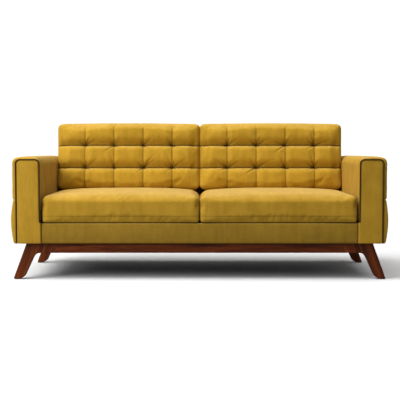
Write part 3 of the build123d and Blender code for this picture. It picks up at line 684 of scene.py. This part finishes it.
def arm_piping(side, sign):
    """The covered cord round an arm's front panel: up the inside, over the top and down to the foot. Its
    bias-cut cover makes shallow ripples 9 mm apart, drawn as a swelling of the cord's thickness."""
    low, high = (np.array(corner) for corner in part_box("arm_piping_right"))
    radius = 3.5 * MM
    start_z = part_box("apron_and_deck_cover")[1][2] + 3 * MM
    left, right, top = low[0] + radius, high[0] - radius, high[2] - radius
    corner = 23.6 * MM
    turn = np.linspace(0, math.pi / 2, 14)[1:-1]
    up = np.linspace(start_z + 1 * MM, top - corner, 90)
    over = np.linspace(left + corner, right - corner, 24)
    down = np.linspace(top - corner, low[2] + 1 * MM, 130)
    runs = [
        np.stack([np.full_like(up, left), up], -1),
        np.stack([left + corner * (1 - np.cos(turn)), top - corner * (1 - np.sin(turn))], -1),
        np.stack([over, np.full_like(over, top)], -1),
        np.stack([right - corner * (1 - np.sin(turn)), top - corner * (1 - np.cos(turn))], -1),
        np.stack([np.full_like(down, right), down], -1),
    ]
    line = np.concatenate(runs)
    middle_y = (low[1] + high[1]) / 2
    path = np.stack([line[:, 0], np.full(len(line), middle_y), line[:, 1]], -1)
    travel = np.concatenate([[0], np.cumsum(np.linalg.norm(np.diff(path, axis=0), axis=1))])
    swell = radius * (1.07 + 0.04 * np.sin(2 * math.pi * travel / (9 * MM)))
    points, quads = tube(path, swell, 10)
    # Its dark velvet is painted shade for the groove round the panel.
    piece = mesh_piece(f"arm_piping_{side}", *for_side(points, quads, sign), piping_velvet)
    subdivide(piece)
    place(piece, "sofa_frame", "piping_velvet", f"arm_piping_{side}")


def arm_outside_panel(side, sign):
    """The soft panel low on an arm's outside: it puffs out between its tucked top and its foot, with
    shallow upright pulls."""
    low, high = (np.array(corner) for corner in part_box("arm_outside_panel_right"))
    edge = 0.0205
    start = np.array([low[0], low[1] + 1 * MM, low[2]])
    end = np.array([low[0] + edge, high[1], high[2] - 1 * MM])
    points, quads = pad_skin(start, end, (0.006, 0.009, 0.0055), (7 * MM, 4 * MM), 7 * MM, depth=0, face=1)
    points = stretched_back(points, low[1], high[1])
    x, y, z = points.T
    w = np.clip((z - low[2]) / (high[2] - low[2]), 0, 1)
    puff = np.sin(math.pi * w) ** 0.8 * (high[0] - low[0] - edge)
    ends = smooth_step(y, low[1], low[1] + 0.03) * 0.35 + 0.65
    facing = (x - low[0]) / edge
    points[:, 0] += facing * (
        puff * ends + 1.2 * MM * waves(points * (1, 1, 0.35), 0.19, 81 + sign) * np.sin(math.pi * w)
    )
    piece = mesh_piece(f"arm_outside_{side}", *for_side(points, quads, sign), mustard)
    subdivide(piece)
    place(piece, "sofa_frame", "mustard_velvet", f"arm_outside_panel_{side}")


def apron():
    """The padded apron under the cushions, crowned at the front, with its edges rolled under."""
    low, high = (np.array(corner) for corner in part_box("apron_and_deck_cover"))
    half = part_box("apron_padding")[1][0] + 2 * MM
    crown = 3.5 * MM
    start = np.array([-half, low[1] + crown, low[2]])
    end = np.array([half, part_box("deck_pad")[0][1], high[2] - 0.5 * MM])
    points, quads = pad_skin(start, end, (0.0085, 0.004, 0.0065), (7 * MM, 7 * MM), 7 * MM)
    w = (points[:, 2] - low[2]) / (high[2] - low[2])
    facing = smooth_step(-points[:, 1], -start[1] - 7 * MM, -start[1])
    puckers = waves(points * (1, 0, 0.25), 0.07, 91) * 0.35 + waves(points * (1, 0, 0.4), 0.4, 92) * 0.6
    points[:, 1] -= facing * (crown * np.sin(math.pi * np.clip(w, 0, 1)) + 0.9 * MM * puckers)
    # The darker velvet is painted shade.
    piece = mesh_piece("apron", points, quads, shaded_apron_velvet)
    subdivide(piece)
    place(piece, "sofa_frame", "mustard_velvet", "apron_and_deck_cover", "apron_padding")


def seat_deck():
    """The padded deck under the seat cushions, with a faint hollow over each spring's run."""
    low, high = (np.array(corner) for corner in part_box("deck_pad"))
    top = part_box("apron_and_deck_cover")[1][2]
    end = np.array([high[0], high[1], top])
    points, quads = pad_skin(low, end, (0.016, 0.016, 0.005), (6 * MM, 6 * MM), 5 * MM, depth=2, face=1)
    facing = smooth_step(points[:, 2], top - 6 * MM, top)
    points[:, 2] -= facing * (
        0.8 * MM + 0.7 * MM * np.sin(2 * math.pi * points[:, 0] / 0.17) + 0.5 * MM * waves(points, 0.2, 95)
    )
    piece = mesh_piece("seat_deck", points, quads, mustard)
    subdivide(piece)
    place(piece, "sofa_frame", "mustard_velvet", "deck_pad")


def inside_back():
    """The padded inside of the back, leaning with its face and rounded over into the top and the two
    cheeks."""
    low, high = (np.array(corner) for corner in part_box("inside_back_cover"))
    depth = high[1] - low[1]
    end = np.array([high[0], low[1] + depth, high[2]])
    points, quads = pad_skin(low, end, (0.012, 0.011, 0.011), (12 * MM, 22 * MM), 16 * MM)
    share = (points[:, 1] - low[1]) / depth
    front = low[1] + (points[:, 2] - low[2]) * math.tan(LEAN)
    points[:, 1] = front + share * (rear_plane(points[:, 2]) - front)
    facing = 1 - smooth_step(share, 0.0, 0.12)
    points[:, 1] += facing * 1.6 * MM * waves(points * (1, 1, 0.6), 0.26, 97)
    piece = mesh_piece("inside_back", points, quads, mustard)
    subdivide(piece)
    place(piece, "sofa_frame", "mustard_velvet", "inside_back_cover", "back_padding")


def outside_back():
    """The stretched fabric panel over the rear, wide behind the arms and narrower above them. Its half
    width at a height follows a quarter circle at each outer corner."""
    low, high = (np.array(corner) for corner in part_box("outside_back_cover"))
    arm_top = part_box("arm_cover_right")[1][2] - 8 * MM
    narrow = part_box("inside_back_cover")[1][0]
    bend = 22 * MM
    zs = stations(
        np.array([low[2], arm_top - bend, arm_top, arm_top + 1 * MM, high[2] - bend, high[2]]), 0.0105
    )
    points, quads = box_skin(stations(np.array([-1.0, 1.0]), 0.012), np.array([0.0, 0.5, 1.0]), zs)
    z = points[:, 2]

    def cut_back(top):
        return bend - np.sqrt(np.clip(bend ** 2 - np.clip(z - (top - bend), 0, bend) ** 2, 0, None))

    half = np.where(z <= arm_top + 1e-6, high[0] - cut_back(arm_top), narrow - cut_back(high[2]))
    points[:, 0] *= half
    slack = waves(points * (1, 0, 1), 0.5, 99) * np.clip(1 - np.abs(points[:, 0]) / high[0], 0, 1) ** 0.5
    points[:, 1] = rear_plane(z) + 0.1 * MM + points[:, 1] * PANEL + 0.9 * MM * slack
    piece = mesh_piece("outside_back", points, quads, mustard)
    place(piece, "sofa_frame", "mustard_velvet", "outside_back_cover")


def dust_cover():
    """The thin cloth tacked under the seat box. It sags up to 4 mm in the bays between the base's rails."""
    low, high = (np.array(corner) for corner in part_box("dust_cover"))
    xs = stations(np.array([low[0], high[0]]), 0.02)
    ys = stations(np.array([low[1], high[1]]), 0.02)
    points, quads = box_skin(xs, ys, np.array([low[2], high[2]]))
    rail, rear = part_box("base_front_rail")[1][1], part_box("base_rear_rail")[0][1]
    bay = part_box("base_side_rail_right")[0][0]
    along_x = np.abs(np.sin(math.pi * np.clip(points[:, 0] / bay, -1, 1)))
    along_y = np.sin(math.pi * np.clip((points[:, 1] - rail) / (rear - rail), 0, 1))
    points[:, 2] -= 4 * MM * along_x ** 0.7 * along_y ** 0.7 * (1 + 0.15 * waves(points, 0.15, 103))
    piece = mesh_piece("dust_cloth", points, quads, cambric)
    place(piece, "sofa_frame", "cambric", "dust_cover")


# ---------------------------------------------------------------- cushions

SEAT_STEP = 0.0085
BACK_STEP = 0.0068


def seat_cushion(side, sign):
    """A seat cushion: a pad whose upper edges are rounder than its lower ones and whose top crowns towards
    the middle, inflated as cloth. A stitched seam runs level round it, low on the front; only its stretch
    across the front is drawn, with fine puckers along it."""
    low, high = (np.array(corner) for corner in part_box(f"seat_cushion_cover_{side}"))
    margin = 2 * MM
    low = low + margin
    high = high - margin
    edge_top = low[2] + 0.150
    box_high = np.array([high[0], high[1], edge_top])
    steps = (SEAT_STEP, SEAT_STEP, SEAT_STEP)
    points, quads = pad_skin(low, box_high, steps, (14 * MM, 27 * MM), 26 * MM, rear_roll=18 * MM)
    u = (points[:, 0] - low[0]) / (box_high[0] - low[0]) * 2 - 1
    v = (points[:, 1] - low[1]) / (box_high[1] - low[1])
    w = np.clip((points[:, 2] - low[2]) / (edge_top - low[2]), 0, 1)
    crown = (1 - np.abs(u) ** 3.2) * np.clip(np.sin(math.pi * v ** 0.9), 0, 1) ** 0.62
    points[:, 2] += 0.024 * crown * w
    piece = mesh_piece(f"seat_cushion_{side}", points, quads, mustard)
    flat_bottom = points[:, 2] < low[2] + 4 * MM
    inflate(piece, flat_bottom, 1.2, 0.008, 12, 5 * MM)
    subdivide(piece)
    bake(piece)
    points = points_of(piece)
    front = 1 - smooth_step(points[:, 1], low[1] + 0.012, low[1] + 0.04)
    w = smooth_step(points[:, 2], low[2], low[2] + 0.06)
    to_seam = points[:, 2] - (low[2] + 0.034)
    puckers = bump(to_seam, 7 * MM) * np.abs(waves(points * (1, 0, 0), 0.035, 15 + sign, 2))
    points[:, 1] += (1.6 * MM * bump(to_seam, 2.4 * MM) + 0.9 * MM * puckers) * front
    # Painted shade along the front seam, kept in the seam attribute.
    paint_seam_shade(piece, 0.3 * bump(to_seam, 2.6 * MM) * front)
    points[:, 2] += 1.2 * MM * waves(points, 0.24, 11 + sign) * w
    points[:, 1] += 0.7 * MM * waves(points * (1, 1, 0.35), 0.11, 21 + sign) * front * w
    move_to(piece, points)
    nodes = (f"seat_cushion_cover_{side}", f"seat_cushion_core_{side}")
    place(piece, f"seat_cushion_{side}", "mustard_velvet", *nodes)


COLUMN_SEAMS = (-0.272, -0.091, 0.091, 0.272)
ROW_SEAMS = (0.131, 0.271)


def nearest(values, seams):
    """The distance from each value to the nearest seam."""
    return np.min(np.abs(values[:, None] - np.array(seams)), axis=1)


def hang(z, above, below):
    """One on a level seam, fading over a wide span above it, where the stuffing sinks, and a narrow one
    below."""
    gap = z[:, None] - np.array(ROW_SEAMS)
    return np.max(np.where(gap > 0, bump(gap, above), bump(gap, below)), axis=1)


def creases(x, z, seed):
    """How deep the pulled creases run over a cushion's face: from each crossing of two seams, short lines
    fan out, each a narrow bell across its line that rises within 12 mm and fades along its length."""
    draw = np.random.default_rng(seed)
    depth = np.zeros(len(x))
    for column in COLUMN_SEAMS:
        for row in ROW_SEAMS:
            for angle in (28, 62, 118, 152, 208, 332):
                if draw.uniform() < 0.35:
                    continue
                turn = math.radians(angle + draw.uniform(-14, 14))
                reach = draw.uniform(0.03, 0.065)
                ahead = (x - column) * math.cos(turn) + (z - row) * math.sin(turn)
                off = (z - row) * math.cos(turn) - (x - column) * math.sin(turn)
                along = smooth_step(ahead, 0, 12 * MM) * bump(ahead, reach)
                depth += draw.uniform(0.5, 1.0) * bump(off, 3.2 * MM + 0.05 * np.abs(ahead)) * along
    return depth


def back_cushion(side, sign):
    """A back cushion: a leaning pillow whose front is stitched down along four upright and two level seams,
    deeper where they cross, then inflated as cloth so that the squares between puff out. Each seam is a
    narrow crease in a wide hollow: depth times exp(-(d/width)^2), with d the distance to the seam."""
    low, high = (np.array(corner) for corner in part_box(f"back_cushion_cover_{side}"))
    thickness = BACK_THICKNESS
    length = (high[2] - low[2] - thickness * math.sin(LEAN)) / math.cos(LEAN) + 5 * MM
    base = np.array([(low[0] + high[0]) / 2, low[1], low[2] + thickness * math.sin(LEAN)])
    half = (high[0] - low[0]) / 2 - 3 * MM
    xs = stations(np.array([-half, *COLUMN_SEAMS, half]), BACK_STEP)
    ys = stations(np.array([6 * MM, thickness - 2 * MM]), 0.012)
    zs = stations(np.array([2 * MM, *ROW_SEAMS, length - 4 * MM]), BACK_STEP)
    points, quads = box_skin(xs, ys, zs)
    box_low = np.array([xs[0], ys[0], zs[0]])
    box_high = np.array([xs[-1], ys[-1], zs[-1]])
    points = rounded(points, box_low, box_high, 0.025)
    x, y, z = points.T
    front = np.clip(1 - (y - ys[0]) / 0.05, 0, 1)
    to_column, to_row = nearest(x, COLUMN_SEAMS), nearest(z, ROW_SEAMS)
    top_fade = np.clip((length - 0.012 - z) / 0.03, 0, 1)
    edge_fade = np.clip((half - 4 * MM - np.abs(x)) / 0.03, 0, 1)
    dip_column = 7 * MM * bump(to_column, 0.022) * top_fade
    dip_row = 15 * MM * hang(z, 0.036, 0.016) * edge_fade
    cross = 10 * MM * bump(np.hypot(to_column, to_row), 0.024)
    points[:, 1] += (np.maximum(dip_column, dip_row) + cross) * front
    points[:, 0] *= 1 - 0.004 * (1 - np.clip(z / length, 0, 1))
    # The lighter velvet is painted light.
    piece = mesh_piece(f"back_cushion_{side}", points, quads, lightened_back_velvet)
    on_front = y < ys[0] + 4 * MM
    on_column = (to_column < 2 * MM) & (top_fade > 0.9)
    on_row = (to_row < 2 * MM) & (edge_fade > 0.9)
    flat_back = y > ys[-1] - 4 * MM
    inflate(piece, (on_front & (on_column | on_row)) | flat_back, 3.0, 0.025, 14, 12 * MM)
    subdivide(piece)
    bake(piece)
    points = points_of(piece)
    x, y, z = points.T
    front = 1 - smooth_step(y, 0.035, 0.07)
    to_column, to_row = nearest(x, COLUMN_SEAMS), nearest(z, ROW_SEAMS)
    top_fade = smooth_step(length - z, 0.012, 0.05)
    stitch = COLUMN_STITCH * bump(to_column, COLUMN_STITCH_WIDTH) * top_fade
    stitch = stitch + ROW_STITCH * bump(to_row, ROW_STITCH_WIDTH)
    sink = 12.0 * MM * hang(z, 0.027, 0.006)
    pinch = 6.0 * MM * bump(np.hypot(to_column, to_row), 14 * MM)
    pulled = creases(x, z, 41 + sign)
    wrinkle = CREASE_DEPTH * pulled + pinch + sink + 1.0 * MM * waves(points, 0.10, 31 + sign)
    # Painted shade in the seams, at their crossings, in the pulled creases and in the hollow above each
    # level seam, kept in the seam attribute.
    deep = 0.45 * bump(to_column, 3.4 * MM) * top_fade + 0.6 * bump(to_row, 3.6 * MM)
    deep += 0.1 * bump(np.hypot(to_column, to_row), 0.012) + 0.5 * pulled + 0.22 * hang(z, 0.026, 0.004)
    paint_seam_shade(piece, deep * front)
    points[:, 1] += (stitch + wrinkle) * front
    turned = points.copy()
    turned[:, 1] = points[:, 1] * math.cos(LEAN) + points[:, 2] * math.sin(LEAN)
    turned[:, 2] = points[:, 2] * math.cos(LEAN) - points[:, 1] * math.sin(LEAN)
    move_to(piece, turned + base)
    nodes = (f"back_cushion_cover_{side}", f"back_cushion_fill_{side}")
    place(piece, f"back_cushion_{side}", "mustard_velvet", *nodes)


# ---------------------------------------------------------------- base and hidden parts


def dress_nodes():
    """Better materials for the CAD nodes that stay as they are."""
    slots = {entry["node"]: entry["material_slot"] for entry in frame["record"]["subparts"]}
    finishes = {
        "walnut": walnut_level,
        "beech": beech,
        "zinc_steel": plated,
        "spring_steel": spring_steel,
        "nylon": nylon,
        "pine": pine,
        "plywood": plywood,
        "cambric": cambric,
        "webbing": elastic,
        "foam": foam,
        "piping_velvet": piping_velvet,
        "mustard_velvet": mustard,
    }
    for name, node in frame["nodes"].items():
        finish = finishes[slots[name]]
        if name.startswith("base_side") or name == "base_centre_stretcher":
            finish = walnut_deep
        if name.startswith("leg_"):
            finish = walnut_leg_left if name.endswith("left") else walnut_leg_right
        for place_in in node.material_slots:
            place_in.material = finish


dress_nodes()
studio()
for side, sign in SIDES:
    arm_wrap(side, sign)
    arm_front_panel(side, sign)
    arm_piping(side, sign)
    arm_outside_panel(side, sign)
    seat_cushion(side, sign)
    back_cushion(side, sign)
apron()
seat_deck()
inside_back()
outside_back()
dust_cover()
